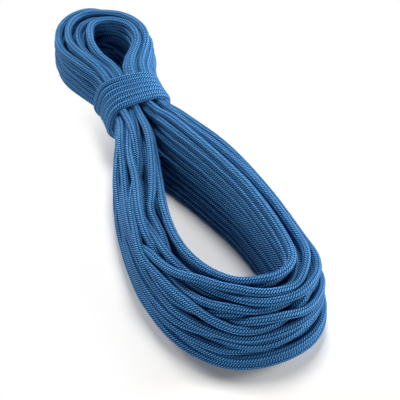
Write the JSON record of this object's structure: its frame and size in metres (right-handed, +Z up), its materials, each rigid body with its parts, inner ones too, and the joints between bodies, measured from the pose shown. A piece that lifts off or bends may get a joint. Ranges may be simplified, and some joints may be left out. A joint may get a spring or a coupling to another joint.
{
  "type": "dynamic climbing rope",
  "caption": "Kernmantle dynamic climbing rope put away as a hank: piled loops drawn in at a waist that is wrapped with its own rope, with sealed ends.",
  "frame": {"origin": "on the floor under the middle of the hank's bounding box", "axes": "+Y along the hank from the big loop to the small head loop past the waist, +Z up from the floor that the hank lies on, +X to the right looking along +Y"},
  "size_m": [0.193, 0.6094, 0.0983],
  "materials": {
    "rope_sheath": "braided polyamide yarn",
    "rope_core": "twisted polyamide yarn",
    "marker_tape": "thin printed tape, left blank",
    "end_sleeve": "heat-shrunk polyolefin",
    "fused_tip": "fused polyamide"
  },
  "bodies": {
    "root": {"coil_loops": "rope_sheath", "neck_wrap": "rope_sheath", "start_tail": "rope_sheath", "finish_tail": "rope_sheath", "start_sheath_end": "rope_sheath", "start_core_strands": "rope_core", "start_marker_tape": "marker_tape", "start_end_sleeve": "end_sleeve", "start_fused_tip": "fused_tip", "finish_sheath_end": "rope_sheath", "finish_core_strands": "rope_core", "finish_marker_tape": "marker_tape", "finish_end_sleeve": "end_sleeve", "finish_fused_tip": "fused_tip"}
  },
  "joints": []
}
